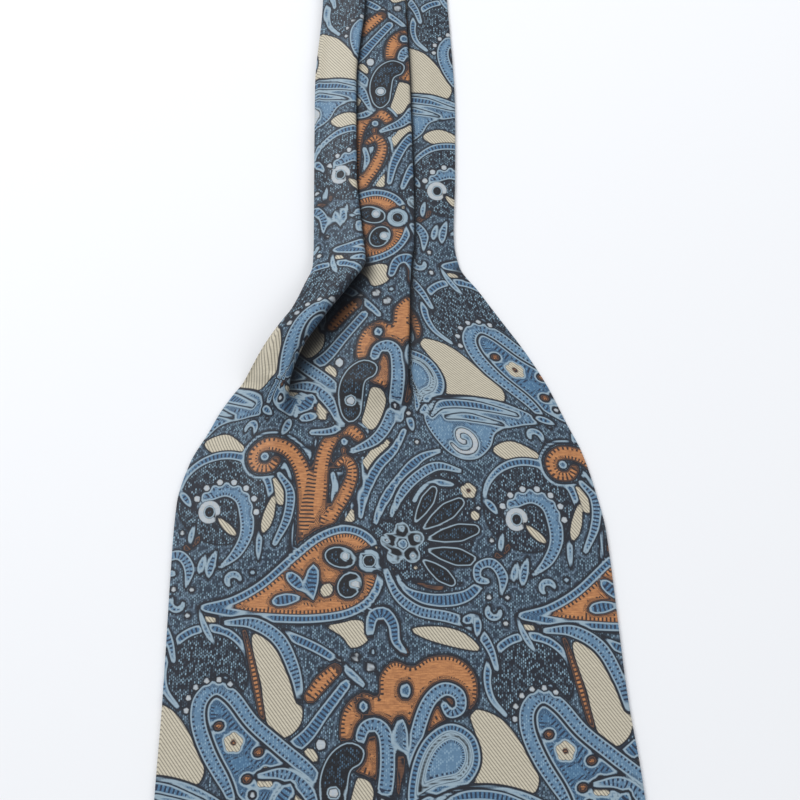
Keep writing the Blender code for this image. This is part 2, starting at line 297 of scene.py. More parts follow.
# The cream lance: a copper slat on its edge, and bands folded round its foot.
figure(band(((58, 47.4), (61.6, 36), (66.4, 18)), 0.6, 1.0, 0.7), ("copper", 0.0), gap=0.5)
figure(band(((52, 49.6), (61, 49.6), (69.6, 44.6), (75, 35), (77.6, 26)),
            0.9, 2.0, 2.1, 1.9, 1.1), ("light", 0.0), gap=0.8)
figure(band(((53, 32), (62, 20), (68, 13), (74, 11), (80, 15), (85, 22), (91.5, 31)),
            1.0, 2.0, 2.2, 2.2, 1.8, 1.6), ("blue", 0.0), gap=0.8)
figure(band(((80.6, 27), (84, 31.6), (88, 35.6)), 2.0, 2.4, 2.0), ("copper", 0.0), gap=0.9)

# The hairpin paisley: a folded pale band round a blue field sown with florets.
figure(leaf(((48, 26), (54, 27), (63, 18), (76, 8), (84, -1), (79, -8), (68, -8), (58, -1),
             (51, 9), (47, 18))), ("blue", 0.0))
figure(band(((60, -9), (56.6, -1), (50, 9), (46, 18), (46, 25), (50.4, 29.2), (56, 26.4),
             (63, 18.6), (72, 11.6), (82, 4), (88, -5), (84, -12), (76, -13.4)),
            0.8, 2.0, 2.3, 2.3, 2.2, 2.1, 2.2, 2.1, 1.6, 1.0), ("light", 0.0), gap=0.8)
for x, y, size in ((57.4, 12.6, 2.9), (68, 2.6, 3.0), (77, -4.4, 2.5)):
    floret(x, y, size)
for x, y in ((52.4, 17.4), (65.4, 10), (62.4, 2), (72.4, -5.4)):
    figure(spot(x, y, 1.5, 0.75, 25), ("copper", 0.0), gap=0.6)
beads(50.4, 23, 8.6, range(58, 190, 26), 1.0)

# The copper fleur: three lobes with blue curls under them, and its stem.
figure(leaf(((94, 6), (90.4, 15), (91.6, 24), (97, 28.6), (102, 27.4), (102.4, 34), (106.6, 38.6),
             (112.4, 37), (118, 40.2), (126, 40.4), (132, 35.6), (133, 28), (129, 22.6),
             (121, 20), (115, 13), (111, 5), (108, -4), (104, -4), (101, 3))),
       ("ivory", -0.5), ("copper", 0.0), gap=1.3)
figure(spot(110.4, 29.6, 1.7, 1.4), ("blue", 0.0), gap=0.7)
figure(spot(97.4, 24.4, 1.5, 1.2), ("blue", 0.0), gap=0.7)
figure(band(((112.4, 4), (114.2, 16), (117.6, 26), (122.4, 30.4), (127.2, 29), (127.8, 24.6),
             (124.6, 23), (122.8, 25.4)), 1.3, 2.1, 2.2, 2.1, 1.8, 1.2), ("light", 0.0))
figure(band(((96.6, 14), (98, 18), (101.6, 19), (104.6, 15.4), (105.4, 5), (103.6, -6),
             (98.6, -15), (90, -20)), 1.6, 2.1, 2.3, 2.4, 2.2, 1.9, 0.9), ("light", 0.0), gap=0.9)
figure(spot(109.4, 16.0, 1.9, 2.8, 4), ("light", 0.0), gap=0.9)

# The ringed drop beside it, one drop inside another.
figure(leaf(((112.6, -5), (112.8, 6), (117, 15.4), (124.6, 20), (132, 16.6), (134, 8.6),
             (129.6, 1.6), (121, -1))), ("blue", 0.0), ("dark", 2.5), ("light", 4.3))

# The pale coiled paisley with its long tail.
figure(leaf(((13.4, 122.6), (22, 129), (34, 131), (47, 128.4), (58, 122), (50, 120), (41, 117.4),
             (37.4, 112), (31.6, 107.6), (25, 107.6), (18.6, 112.4))), ("light", 0.0))
figure(band(((17, 123), (25, 127.4), (36, 127.8), (50, 124)), 0.6, 1.5, 1.5, 0.6), ("blue", 0.0),
       gap=0.4)
figure(band(((24, 122.6), (33, 123.2), (44, 120.4)), 0.5, 1.3, 0.4), ("blue", 0.0), gap=0.4)
figure(band(round_about(28.4, 114.8, 5.8, 200, 640, end_radius=1.0, count=14), 0.5, 0.9, 0.7),
       ("ivory", 0.0), gap=0.3)

# The dark comma with an ivory eye, and what lies round it.
figure(leaf(((89, -9.4), (85.4, -5), (84.8, 3), (87.6, 10), (93, 13.6), (98, 11.6), (97.4, 7.4),
             (94.2, 5), (93.4, -1), (92.6, -6.6))), ("dark", 0.0))
figure(spot(89.2, -1.4, 1.5), ("ivory", 0.0), gap=0.2)
figure(band(((66, 132), (74, 132.6), (81, 128), (85.4, 119.6)), 0.8, 2.0, 2.0, 0.8),
       ("light", 0.0))
figure(petal(70, 121, 50, 11, 2.2, 1), ("blue", 0.0))
figure(petal(79, 122.4, 190, 8, 1.6, 1), ("light", 0.0))
floret(79.4, 122.6, 2.2)
figure(spot(84.6, 12.6, 1.5, 1.2), ("ivory", 0.0))

# Sprigs that fill the ground between.
for x, y, angle, weft in ((3, 120, 60, "light"), (8, 117, 100, "blue"), (11, 124, 20, "light"),
                          (62, 121, 150, "blue"), (66, 114, 60, "light"), (37, 88, 120, "blue"),
                          (30, 47, 80, "blue")):
    figure(petal(x, y, angle, 6.5, 1.3, 1.0), (weft, 0.0))
for x, y in ((6.4, 123.4), (9.6, 113), (1.6, 126), (64.4, 126.4), (40, 60), (35, 79), (30.6, 90)):
    figure(spot(x, y, 0.9), ("ivory", 0.0))

# Small beads and florets where the ground between the figures is still bare.
bead_random = np.random.default_rng(11)
for _ in range(1500):
    x, y = bead_random.uniform((0.0, 0.0), REPEAT)
    pick = bead_random.uniform()
    i, j = int(x / CELL[0]), int(y / CELL[1])
    room = min(drawing[name][j, i] for name in WEFTS)
    if room > 3.9:
        arc = round_about(x, y, 2.5, 360.0 * pick, 360.0 * pick + 230.0, end_radius=1.8)
        figure(band(arc, 0.6, 1.1, 1.0, 0.7), ("light" if pick < 0.5 else "blue", 0.0), gap=0.4)
    elif room > 3.0:
        figure(spot(x, y, 0.95), ("ivory" if pick < 0.45 else "blue", 0.0), gap=0.3)

# The loom rounds off what is finer than a few threads.
for name in WEFTS:
    for _ in range(5):
        for axis in (0, 1):
            before, after = np.roll(drawing[name], 1, axis), np.roll(drawing[name], -1, axis)
            drawing[name] = (before + 2.0 * drawing[name] + after) / 4.0

# The weave itself, as one group of nodes: twill lines, flecks of pale weft and fine ribs,
# worked out from the place on the cloth in millimetres.


class Wiring:
    """Adds nodes to one tree; every sum is a Math node that gives its own value on."""

    def __init__(self, tree):
        self.tree = tree

    def add(self, kind, **settings):
        node = self.tree.nodes.new(kind)
        for name, value in settings.items():
            setattr(node, name, value)
        return node

    def feed(self, socket, value):
        if isinstance(value, bpy.types.NodeSocket):
            self.tree.links.new(value, socket)
        else:
            socket.default_value = value

    def sum(self, operation, *values):
        node = self.add("ShaderNodeMath", operation=operation)
        for socket, value in zip(node.inputs, values):
            self.feed(socket, value)
        return node.outputs[0]

    def split(self, vector):
        node = self.add("ShaderNodeSeparateXYZ")
        self.feed(node.inputs[0], vector)
        return node.outputs

    def between(self, value, low, high):
        """From 0 at low to 1 at high, and flat past them."""
        node = self.add("ShaderNodeMapRange", clamp=True)
        for name, given in (("Value", value), ("From Min", low), ("From Max", high)):
            self.feed(node.inputs[name], given)
        return node.outputs["Result"]

    def mix(self, share, colour_a, colour_b):
        node = self.add("ShaderNodeMix", data_type="RGBA")
        self.feed(node.inputs["Factor"], share)
        self.feed(node.inputs["A"], colour_a)
        self.feed(node.inputs["B"], colour_b)
        return node.outputs["Result"]

    def noise(self, place, scale, detail=2.0):
        node = self.add("ShaderNodeTexNoise")
        self.feed(node.inputs["Vector"], place)
        node.inputs["Scale"].default_value = scale
        node.inputs["Detail"].default_value = detail
        return node.outputs["Fac"]


def new_group(name, inputs, outputs):
    """An empty group of nodes with named sockets, and its wiring."""
    tree = bpy.data.node_groups.new(name, "ShaderNodeTree")
    for direction, sockets in (("INPUT", inputs), ("OUTPUT", outputs)):
        for label, kind in sockets:
            tree.interface.new_socket(label, in_out=direction, socket_type="NodeSocket" + kind)
    wires = Wiring(tree)
    return tree, wires, wires.add("NodeGroupInput").outputs, wires.add("NodeGroupOutput").inputs


FLECK_PITCH = (0.62, 1.02)        # flecks of pale weft in the navy ground, mm
TWILL_PITCH = 1.12                # steep twill lines in the cream fields, mm
RIB_PITCH = 0.42                  # ribs of the weft, mm

weave_group, w, given, made = new_group(
    "Silk weave", [("Cloth", "Vector")],
    [("Fleck", "Float"), ("Tone", "Float"), ("Twill", "Float"), ("Slub", "Float"), ("Ribs", "Float")])
across, along, _ = w.split(given["Cloth"])
column = w.sum("DIVIDE", across, FLECK_PITCH[0])
column_number = w.sum("FLOOR", column)
stagger = w.sum("MULTIPLY", w.sum("FLOORED_MODULO", column_number, 2.0), 0.5)
row = w.sum("ADD", w.sum("DIVIDE", along, FLECK_PITCH[1]), stagger)
cell = w.add("ShaderNodeCombineXYZ")
w.feed(cell.inputs[0], column_number)
w.feed(cell.inputs[1], w.sum("FLOOR", row))
chance = w.add("ShaderNodeTexWhiteNoise", noise_dimensions="2D")
w.feed(chance.inputs["Vector"], cell.outputs[0])
in_column = w.sum("FRACT", column)
in_row = w.sum("FRACT", row)
fleck_side = w.sum("MULTIPLY", w.between(in_column, 0.0, 0.22), w.between(in_column, 0.86, 0.58))
fleck_end = w.sum("MULTIPLY", w.between(in_row, 0.0, 0.2), w.between(in_row, 0.92, 0.66))
fleck_here = w.between(chance.outputs["Value"], 0.25, 0.95)
w.feed(made["Fleck"], w.sum("MULTIPLY", w.sum("MULTIPLY", fleck_side, fleck_end), fleck_here))
w.feed(made["Tone"], chance.outputs["Value"])
slant = w.sum("ADD", across, w.sum("MULTIPLY", along, 0.82))
wave = w.sum("SINE", w.sum("MULTIPLY", slant, 2.0 * math.pi / TWILL_PITCH))
w.feed(made["Twill"], w.between(wave, 0.1, 0.75))
stretched = w.add("ShaderNodeVectorMath", operation="MULTIPLY")
w.feed(stretched.inputs[0], given["Cloth"])
stretched.inputs[1].default_value = (0.35, 2.2, 1.0)
w.feed(made["Slub"], w.noise(stretched.outputs[0], 1.0, 3.0))
w.feed(made["Ribs"], w.sum("SINE", w.sum("MULTIPLY", along, 2.0 * math.pi / RIB_PITCH)))

# Colours of the wefts, each with the thread that edges its shapes.
NAVY, NAVY_DEEP = (0.0165, 0.0300, 0.0500, 1), (0.0080, 0.0110, 0.0200, 1)
FLECK_PALE, FLECK_BLUE = (0.235, 0.365, 0.455, 1), (0.062, 0.130, 0.205, 1)
BLUE, BLUE_FLECK = (0.055, 0.135, 0.240, 1), (0.140, 0.265, 0.385, 1)
LIGHT, LIGHT_FLECK = (0.095, 0.185, 0.290, 1), (0.225, 0.345, 0.445, 1)
BLUE_DARK = (0.014, 0.026, 0.055, 1)
EDGE_PALE = (0.265, 0.355, 0.420, 1)
ECHO = (0.110, 0.165, 0.230, 1)
COPPER, COPPER_DEEP, COMB = (0.520, 0.235, 0.090, 1), (0.300, 0.120, 0.048, 1), (0.035, 0.020, 0.018, 1)
CREAM, CREAM_LINE = (0.530, 0.485, 0.380, 1), (0.190, 0.172, 0.138, 1)
BLACK = (0.0050, 0.0060, 0.0095, 1)
IVORY = (0.380, 0.430, 0.475, 1)
OUTLINE = (0.0080, 0.0105, 0.0180, 1)

MM = 0.001
TICK_PITCH = 1.35                 # between the dashes and comb teeth along an edge, mm
EDGE_SOFT = 0.13                  # half the blur of a woven edge, mm
# Painted shade: the colour is mixed toward black where a pleat shuts off the light.
PAINTED_SHADE_DARK = 0.93                  # how dark the cloth goes where a pleat shuts off the light

silk = bpy.data.materials.new("figured_silk")
silk.use_nodes = True
w = Wiring(silk.node_tree)
shader = silk.node_tree.nodes["Principled BSDF"]


def read(name):
    return w.add("ShaderNodeAttribute", attribute_name=name)


cloth_place = read("cloth_place").outputs["Vector"]
weft = {}
# The third attribute carries painted shade beside the dotted weft and the run along edges.
for attribute, names in (("wefts_a", ("blue", "light", "copper")),
                         ("wefts_b", ("cream", "dark", "ivory")),
                         ("wefts_c_painted_shade", ("dotted", "along", "painted_shade"))):
    for name, output in zip(names, w.split(read(attribute).outputs["Vector"])):
        weft[name] = output
surface = w.add("ShaderNodeGroup", node_tree=weave_group)
w.feed(surface.inputs["Cloth"], cloth_place)
surface = surface.outputs
tick = w.sum("SINE", w.sum("MULTIPLY", weft["along"], 2.0 * math.pi / TICK_PITCH))
tick = w.between(tick, -0.2, 0.5)


def inside(name, depth=0.0):
    """1 where the cloth is further inside a colour than the depth, 0 outside it."""
    return w.between(weft[name], EDGE_SOFT - depth, -EDGE_SOFT - depth)


def rim(name, first, last):
    """1 in the strip between two depths inside a colour's edge."""
    return w.sum("MULTIPLY", inside(name, first), w.sum("SUBTRACT", 1.0, inside(name, last)))


nearest = weft["blue"]
for name in ("light", "copper", "cream", "dark", "ivory", "dotted"):
    nearest = w.sum("MINIMUM", nearest, weft[name])
open_ground = w.between(nearest, 0.35, 0.8)
fleck_colour = w.mix(surface["Tone"], FLECK_BLUE, FLECK_PALE)
echo = w.sum("MULTIPLY", w.between(nearest, 0.85, 1.10), w.between(nearest, 1.60, 1.35))
beading = w.sum("MULTIPLY", echo, w.between(tick, 0.0, 0.6))
colour = w.mix(open_ground, OUTLINE, NAVY)
colour = w.mix(w.sum("MULTIPLY", surface["Fleck"], open_ground), colour, fleck_colour)
colour = w.mix(w.sum("MULTIPLY", beading, 0.85), colour, ECHO)
dotted = w.mix(surface["Fleck"], NAVY_DEEP, fleck_colour)
colour = w.mix(inside("dotted"), colour, dotted)

cream = w.mix(w.sum("MULTIPLY", surface["Twill"], 0.85), CREAM, CREAM_LINE)
colour = w.mix(inside("cream"), colour, cream)

black = w.mix(w.sum("MULTIPLY", surface["Fleck"], inside("dark", 1.3)), BLACK, FLECK_BLUE)
black = w.mix(rim("dark", 0.0, 0.42), black, EDGE_PALE)
colour = w.mix(inside("dark"), colour, black)

copper = w.mix(w.between(surface["Slub"], 0.3, 0.7), COPPER_DEEP, COPPER)
copper = w.mix(w.sum("MULTIPLY", surface["Fleck"], 0.45), copper, COPPER_DEEP)
copper = w.mix(w.sum("MULTIPLY", rim("copper", 0.3, 1.35), tick), copper, COMB)
copper = w.mix(rim("copper", 0.0, 0.34), copper, OUTLINE)
colour = w.mix(inside("copper"), colour, copper)

# Both blues are edged by a pale line, then a dark one crossed by dashes, round a grainy heart.
blue = w.mix(surface["Fleck"], BLUE, BLUE_FLECK)
blue = w.mix(w.sum("MULTIPLY", rim("blue", 0.55, 1.9), tick), blue, BLUE_DARK)
blue = w.mix(rim("blue", 0.0, 0.48), blue, EDGE_PALE)
colour = w.mix(inside("blue"), colour, blue)

light = w.mix(surface["Fleck"], LIGHT, LIGHT_FLECK)
light = w.mix(w.sum("MULTIPLY", rim("light", 0.50, 1.25), tick), light, BLUE_DARK)
light = w.mix(rim("light", 0.0, 0.45), light, EDGE_PALE)
colour = w.mix(inside("light"), colour, light)

ivory = w.mix(w.sum("MULTIPLY", surface["Fleck"], 0.5), IVORY, CREAM)
colour = w.mix(inside("ivory"), colour, ivory)

# Painted shade darkens the line where a pleat turns under, as little light reaches it; slubs vary the
# dye a little.
colour = w.mix(w.sum("MULTIPLY", weft["painted_shade"], PAINTED_SHADE_DARK), colour, BLACK)
varied = w.add("ShaderNodeHueSaturation")
w.feed(varied.inputs["Color"], colour)
w.feed(varied.inputs["Value"], w.sum("MULTIPLY_ADD", surface["Slub"], 0.35, 0.83))
w.feed(shader.inputs["Base Color"], varied.outputs["Color"])
metal = w.sum("ADD", inside("copper"), inside("cream"))
w.feed(shader.inputs["Roughness"], w.sum("SUBTRACT", 0.56, w.sum("MULTIPLY", metal, 0.08)))
shader.inputs["Sheen Weight"].default_value = 0.09
shader.inputs["Sheen Roughness"].default_value = 0.45
shader.inputs["Sheen Tint"].default_value = (0.80, 0.88, 1.0, 1.0)
shader.inputs["Specular IOR Level"].default_value = 0.33
raised = w.sum("MULTIPLY", w.between(nearest, 0.3, -0.3), 0.06)
height = w.sum("ADD", raised, w.sum("MULTIPLY", surface["Ribs"], 0.018))
height = w.sum("ADD", height, w.sum("MULTIPLY", surface["Slub"], 0.05))
bump = w.add("ShaderNodeBump")
bump.inputs["Strength"].default_value = 0.55
bump.inputs["Distance"].default_value = MM
w.feed(bump.inputs["Height"], height)
w.feed(shader.inputs["Normal"], bump.outputs["Normal"])


# ---------------------------------------------------------------------------------------
# Front blade, the one that shows. A doubled piece of the silk cut in one with its end of
# the neckband and turned through, so its sides are folded edges. Two knife pleats run down
# the band, are held at the throat, and open out into the blade.
WALL = 1.2                # doubled silk
GAP = 0.3                 # between the layers of a pleat, and between pieces at a seam
BAND_LENGTH = 520.0       # pleated neckband, from throat to throat
NECK_LENGTH = 200.0       # middle piece of the band, between the two cross seams
BLADE_LENGTH = 330.0      # from the throat to the point
POINT_NOSE = 2.5          # half the width of the blunt end of a point
PRESSED_ROLL = (WALL + GAP) / 2.0
TURNED_TUCK = 2.4         # a pleat with more tuck than this is turned right back
OPENED_PLEAT = 9.0        # cloth across a pleat that has opened out flat
EDGE_DROOP = 0.7
RAMP_CLEARANCE = 1.0
BAND_END = -(BAND_LENGTH - NECK_LENGTH) / 2.0

# Columns of the mesh along one section, and the share of them kept on the underside.
ARC_COLUMNS = 7
TUCK_COLUMNS = 6
LEFT_COLUMNS = 34
STOP_COLUMNS = 9
MIDDLE_COLUMNS = 22
RIGHT_COLUMNS = 70
UNDER_EVERY = 8
RIM_COLUMNS = 3
PLEAT_COLUMNS = 2 * ARC_COLUMNS + TUCK_COLUMNS
FLAT_STEP = OPENED_PLEAT / PLEAT_COLUMNS

Row = namedtuple("Row", "down left right fold_a tuck_a roll_a fold_b tuck_b")
FRONT_ROWS = (
    #    down   left  right  fold_a tuck_a roll_a fold_b tuck_b
    Row(-160.0, 23.0, 26.2,   -5.8,  13.0,  0.75,  10.2,  14.6),
    Row(-122.0, 22.6, 26.8,   -5.7,  13.0,  0.75,  10.3,  14.6),
    Row( -77.0, 25.8, 27.8,  -10.0,  11.8,  0.75,  10.9,  15.6),
    Row( -35.0, 26.1, 26.2,  -10.4,  11.4,  0.80,  10.9,  15.6),
    Row(  -7.0, 26.2, 24.5,   -8.4,  13.0,  0.90,  10.3,  14.8),
    Row(   3.0, 26.4, 25.9,   -7.6,  12.8,  1.40,   8.9,  13.6),
    Row(  14.0, 29.4, 32.8,  -13.7,   9.6,  2.20,   8.1,  11.0),
    Row(  24.0, 33.2, 38.9,  -21.0,   5.2,  2.80,   7.7,   8.4),
    Row(  28.0, 36.4, 41.4,  -23.8,   4.8,  2.80,   7.5,   6.6),
    Row(  37.0, 43.4, 47.0,  -30.0,   4.0,  2.50,   6.9,   4.0),
    Row(  46.0, 49.9, 51.9,  -33.8,   2.6,  1.90,   6.5,   2.5),
    Row(  52.0, 54.6, 54.8,  -35.2,   1.6,  1.50,   6.2,   1.4),
    Row(  59.0, 59.2, 57.6,  -36.8,   1.0,  1.15,   5.9,   0.6),
    Row(  65.0, 62.2, 59.9,  -38.0,   0.6,  0.90,   5.7,   0.3),
    Row(  77.0, 68.7, 64.7,  -40.5,   0.2,  0.80,   5.4,   0.1),
    Row(  91.0, 72.4, 68.0,  -42.5,   0.0,  0.80,   5.2,   0.0),
    Row( 105.0, 73.1, 70.2,  -44.0,   0.0,  0.80,   5.0,   0.0),
    Row( 157.0, 73.9, 71.7,  -44.0,   0.0,  0.80,   5.0,   0.0),
    Row( 184.0, 74.8, 73.7,  -44.0,   0.0,  0.80,   5.0,   0.0),
    Row( 254.0, 76.0, 76.0,  -44.0,   0.0,  0.80,   5.0,   0.0),
    Row( 330.0, 76.0, 76.0,  -44.0,   0.0,  0.80,   5.0,   0.0),
)

# How far the figure on each strip has slid sideways from where it lies on the open blade,
# because of the cloth folded away between them.
Slide = namedtuple("Slide", "down strip_a middle strip_b spread")
SLIDES = (
    Slide(-160.0, -40.0, -6.7, 29.0,  0.4),
    Slide( -10.0, -38.0, -6.0, 28.0,  0.4),
    Slide(  10.0, -34.0, -3.0, 25.0,  0.4),
    Slide(  25.0, -28.0, -1.0, 21.0,  0.4),
    Slide(  45.0, -16.0,  0.0, 14.0,  2.0),
    Slide(  60.0,  -5.0,  0.0,  7.0, 16.0),
    Slide(  80.0,   0.0,  0.0,  1.5, 34.0),
    Slide( 100.0,   0.0,  0.0,  0.0, 40.0),
    Slide( 330.0,   0.0,  0.0,  0.0, 40.0),
)


def row_at(rows, down):
    """The columns of a table at any distance down, by a smooth curve with no overshoot."""
    last = len(rows) - 1
    after = max(next((i for i, row in enumerate(rows) if row.down >= down), last), 1)
    before = after - 1
    span = rows[after].down - rows[before].down
    part = min(max((down - rows[before].down) / span, 0.0), 1.0)

    def slope(column, i):
        if i in (0, last):
            return 0.0
        rise_in = (rows[i][column] - rows[i - 1][column]) / (rows[i].down - rows[i - 1].down)
        rise_out = (rows[i + 1][column] - rows[i][column]) / (rows[i + 1].down - rows[i].down)
        if rise_in * rise_out <= 0.0:
            return 0.0
        return 2.0 * rise_in * rise_out / (rise_in + rise_out)

    values = [down]
    for column in range(1, len(rows[0])):
        start = rows[before][column]
        end = rows[after][column]
        slope_in = slope(column, before) * span
        slope_out = slope(column, after) * span
        bend_in = slope_in + 2.0 * start - 2.0 * end + slope_out
        bend_out = 3.0 * end - 3.0 * start - 2.0 * slope_in - slope_out
        values.append(start + part * (slope_in + part * (bend_out + part * bend_in)))
    return type(rows[0])(*values)


def spread(first, last, steps):
    """The ends of equal steps from first to last, without first itself."""
    return [first + (last - first) * i / steps for i in range(1, steps + 1)]


def eased(part):
    part = min(max(part, 0.0), 1.0)
    return part * part * (3.0 - 2.0 * part)


class Pleat:
    """One knife pleat: an edge turned under, a tuck, and a turn back along the next panel."""

    def __init__(self, edge, tuck, roll):
        self.roll = roll
        self.turn = math.pi * min(tuck / TURNED_TUCK, 1.0)
        self.step = FLAT_STEP * (1.0 - self.turn / math.pi) ** 2
        self.start = edge - WALL / 2.0 - roll * math.sin(min(self.turn, math.pi / 2.0))
        self.drop = 2.0 * roll * (1.0 - math.cos(self.turn)) + tuck * math.sin(self.turn)
        self.tuck_from = (self.start + roll * math.sin(self.turn) + ARC_COLUMNS * self.step,
                          roll * (math.cos(self.turn) - 1.0))
        self.tuck_to = (self.tuck_from[0] + tuck * math.cos(self.turn) + TUCK_COLUMNS * self.step,
                        self.tuck_from[1] - tuck * math.sin(self.turn))
        self.end = self.tuck_to[0] + roll * math.sin(self.turn) + ARC_COLUMNS * self.step
        self.inner_edge = min(self.end - roll, self.start) - WALL / 2.0

    def points(self, top):
        """Through the pleat, from the end of the upper panel to the start of the lower."""
        angles = spread(0.0, self.turn, ARC_COLUMNS)
        line = [(self.start + self.roll * math.sin(a) + self.step * (i + 1),
                 top - self.roll + self.roll * math.cos(a)) for i, a in enumerate(angles)]
        (x0, z0), (x1, z1) = self.tuck_from, self.tuck_to
        line += [(x0 + (x1 - x0) * part, top + z0 + (z1 - z0) * part)
                 for part in spread(0.0, 1.0, TUCK_COLUMNS)]
        middle = top - self.drop + self.roll
        bend_start = self.end - ARC_COLUMNS * self.step
        angles = spread(self.turn, 0.0, ARC_COLUMNS)
        line += [(bend_start - self.roll * math.sin(a) + self.step * (i + 1),
                  middle - self.roll * math.cos(a)) for i, a in enumerate(angles)]
        return line


def section(row):
    """The cloth's middle line across one section, as (x, z) from left edge to right edge."""
    pleat_a = Pleat(row.fold_a, row.tuck_a, row.roll_a)
    pleat_b = Pleat(row.fold_b, row.tuck_b, PRESSED_ROLL)
    floor = WALL / 2.0
    ramp_start = pleat_a.end
    ramp_end = max(pleat_b.inner_edge - RAMP_CLEARANCE, ramp_start + RAMP_CLEARANCE)

    top_a = floor + pleat_a.drop
    knee = min(pleat_a.inner_edge, pleat_a.start - RAMP_CLEARANCE)
    room = knee + row.left
    droop = min(pleat_a.drop, EDGE_DROOP * room)

    points = [(-row.left, top_a - droop)]
    for x in spread(-row.left, knee, LEFT_COLUMNS):
        points.append((x, top_a - droop * eased((knee - x) / room)))
    for x in spread(knee, pleat_a.start, STOP_COLUMNS):
        points.append((x, top_a))
    points += pleat_a.points(top_a)
    climb_end = min(max(ramp_end, pleat_a.end + GAP), pleat_b.start - GAP)
    for first, last in ((pleat_a.end, climb_end), (climb_end, pleat_b.start)):
        for x in spread(first, last, MIDDLE_COLUMNS):
            points.append((x, floor))
    climb = ramp_end - ramp_start
    points = [(x, z + pleat_b.drop * eased((x - ramp_start) / climb)) for x, z in points]
    points += pleat_b.points(floor + pleat_b.drop)
    for x in spread(pleat_b.end, row.right, RIGHT_COLUMNS):
        points.append((x, floor))
    return points


FOLD_A_COLUMN = LEFT_COLUMNS + STOP_COLUMNS + PLEAT_COLUMNS // 2
FOLD_B_COLUMN = FOLD_A_COLUMN + PLEAT_COLUMNS + 2 * MIDDLE_COLUMNS
# Painted shade beside each pleat's edge: its width, how it widens with an open roll and at the throat.
PAINTED_SHADE_LINE = 1.6           # width of the dark line beside a pressed pleat
PAINTED_SHADE_DEEP = 4.2           # how much wider it is for each millimetre of open roll
PAINTED_SHADE_THROAT = 2.6         # and how much wider where the band is held at the throat
THROAT_FROM, THROAT_REACH = 20.0, 15.0

# Spots of painted shade in the tucks where the turned edge is pinched, as (x, down, how wide).
PINCHES = ((26.6, 5.0, 2.3), (-35.6, 26.0, 2.0))
PINCH_PAINTED_SHADE = 0.9


def figure_place(x, column, down, row):
    """Where a point of the section lies across the unfolded cloth."""
    slide = row_at(SLIDES, down)
    if column < FOLD_A_COLUMN:
        beyond = eased((row.fold_a - x) / slide.spread)
        return x + slide.middle + (slide.strip_a - slide.middle) * beyond
    if column > FOLD_B_COLUMN:
        beyond = eased((x - row.fold_b) / slide.spread)
        return x + slide.middle + (slide.strip_b - slide.middle) * beyond
    return x + slide.middle


def painted_fold_shade(x, column, row):
    """Painted shade where a pleat shuts off the light, beside or under its edge, and in the pinched
    tucks.
    """
    painted_shade = 0.0
    for edge, tuck, roll, middle_column in ((row.fold_a, row.tuck_a, row.roll_a, FOLD_A_COLUMN),
                                            (row.fold_b, row.tuck_b, PRESSED_ROLL, FOLD_B_COLUMN)):
        closed = eased(min(tuck / TURNED_TUCK, 1.0))
        held = math.exp(-((row.down - THROAT_FROM) / THROAT_REACH) ** 2)
        reach = PAINTED_SHADE_LINE + PAINTED_SHADE_DEEP * max(roll - PRESSED_ROLL - GAP / 2.0, 0.0) + PAINTED_SHADE_THROAT * held
        turned = column - (middle_column - PLEAT_COLUMNS // 2)
        if column >= middle_column:
            painted_shade = max(painted_shade, closed * (1.0 - eased((x - edge) / reach)))
        elif turned > 0:
            painted_shade = max(painted_shade, closed * eased((turned - 1.0) / (0.6 * ARC_COLUMNS)))
    # Painted shade in the pinched tucks.
    for pinch_x, pinch_down, wide in PINCHES:
        away = math.hypot(x - pinch_x, row.down - pinch_down)
        painted_shade = max(painted_shade, PINCH_PAINTED_SHADE * math.exp(-(away / wide) ** 2))
    return painted_shade


# The creases and swells that handling has left in the blade: each a long soft ridge or
# trough, by its two ends, its half width, and its height at the middle, in millimetres.
Crease = namedtuple("Crease", "x down to_x to_down half_width height")
FRONT_CREASES = (
    Crease(-34,  40, -47, 118,  7.0,  1.3),
    Crease(-30,  52, -30, 150, 10.0,  0.5),
    Crease( 12,  30,  20, 120,  9.0,  0.7),
    Crease( 30,  22,  52, 110,  8.0,  0.8),
    Crease(-62,  84, -66, 190,  9.0,  0.5),
    Crease( -8,  62,  -4, 170, 12.0,  0.6),
    Crease( 60, 110,  64, 230,  8.0,  0.5),
    Crease(-50, 150,  10, 176, 14.0,  0.4),
    Crease( 14, 200,  60, 236, 15.0,  0.5),
    Crease(-40, 236,  -6, 300, 12.0,  0.5),
    Crease(-18,-120, -17, -12,  3.4,  0.5),
    Crease( 19,-140,  19,   2,  3.6,  0.4),
    Crease(  2,-110,   3,  -4,  3.8,  0.3),
)


FADE_POWER = 0.7          # under 1, a crease keeps its height nearly to its ends


def swell(creases, x, down):
    """How far the creases lift the cloth at each place."""
    lift = np.zeros_like(x)
    for crease in creases:
        start = np.array((crease.x, crease.down), float)
        run = np.array((crease.to_x, crease.to_down), float) - start
        part = ((x - start[0]) * run[0] + (down - start[1]) * run[1]) / (run @ run)
        held = np.clip(part, 0.0, 1.0)
        aside = np.hypot(x - start[0] - held * run[0], down - start[1] - held * run[1])
        fade = np.sin(math.pi * held) ** FADE_POWER
        lift += crease.height * fade * np.exp(-(aside / crease.half_width) ** 2)
    return lift


